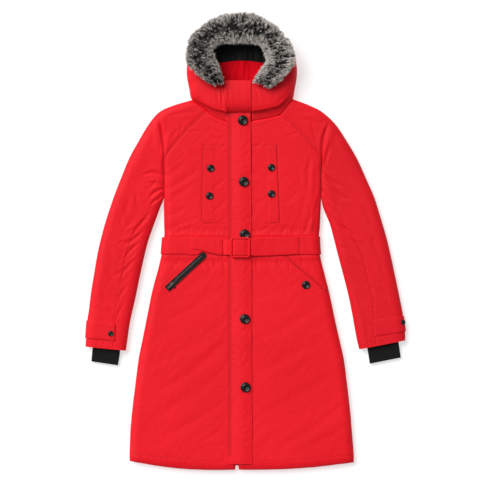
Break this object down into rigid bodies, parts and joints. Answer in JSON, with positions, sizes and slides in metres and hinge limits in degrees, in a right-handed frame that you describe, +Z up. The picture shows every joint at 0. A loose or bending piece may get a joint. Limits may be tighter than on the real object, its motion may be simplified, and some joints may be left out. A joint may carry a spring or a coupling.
{
  "type": "long parka",
  "caption": "Long padded parka laid flat, with raglan sleeves, fur-trimmed hood, buckled belt, storm flap with buttons, and slanted pockets.",
  "frame": {"origin": "centre of the bounding box's bottom, on the floor that the coat lies on", "axes": "+Y from the hem towards the hood, +X to the right as seen from above (the wearer's left), +Z up from the floor, out of the fronts"},
  "size_m": [0.8989, 1.2804, 0.085],
  "materials": {
    "red_shell": "smooth tightly woven cotton-like shell with a soft satin sheen",
    "black_lining": "smooth dark lining",
    "knit": "matte rib knit",
    "fur": "long fur, dark roots and silver-grey tips",
    "button_plastic": "polished",
    "zip_tape": "woven tape and matte binding",
    "zip_metal": "dark satin metal"
  },
  "bodies": {
    "coat": {"back_panel": "red_shell", "front_left": "red_shell", "front_right": "red_shell", "storm_flap": "red_shell", "sleeve_upper_left": "red_shell", "sleeve_upper_right": "red_shell", "sleeve_under_left": "red_shell", "sleeve_under_right": "red_shell", "knit_cuff_left": "knit", "knit_cuff_right": "knit", "cuff_tab_left": "red_shell", "cuff_tab_right": "red_shell", "button_cuff_left": "button_plastic", "button_cuff_right": "button_plastic", "hood_back": "red_shell", "hood_left": "red_shell", "hood_right": "red_shell", "throat_flap": "red_shell", "hood_lining": "black_lining", "neck_inner": "red_shell", "fur_trim": "fur", "belt_left": "red_shell", "belt_right": "red_shell", "belt_back": "red_shell", "belt_tail": "red_shell", "belt_fold": "red_shell", "buckle": "red_shell", "button_front_1": "button_plastic", "button_front_2": "button_plastic", "button_front_3": "button_plastic", "button_front_4": "button_plastic", "button_front_5": "button_plastic", "button_chest_1": "button_plastic", "button_chest_2": "button_plastic", "button_chest_3": "button_plastic", "button_chest_4": "button_plastic", "button_pocket": "button_plastic", "chest_welt_left": "red_shell", "chest_welt_right": "red_shell", "pocket_edge_right": "red_shell", "zip_welt": "zip_tape", "zip_tape": "zip_tape", "zip_slider": "zip_metal"},
    "pull_tab": {"zip_pull": "zip_metal"}
  },
  "joints": [
    {"name": "pull_tab_hinge", "type": "hinge", "parent": "coat", "child": "pull_tab", "pos_m": [-0.20582, -0.12143, 0.033], "axis": [-0.6774, 0.7356, 0], "range_deg": [0, 170]}
  ]
}
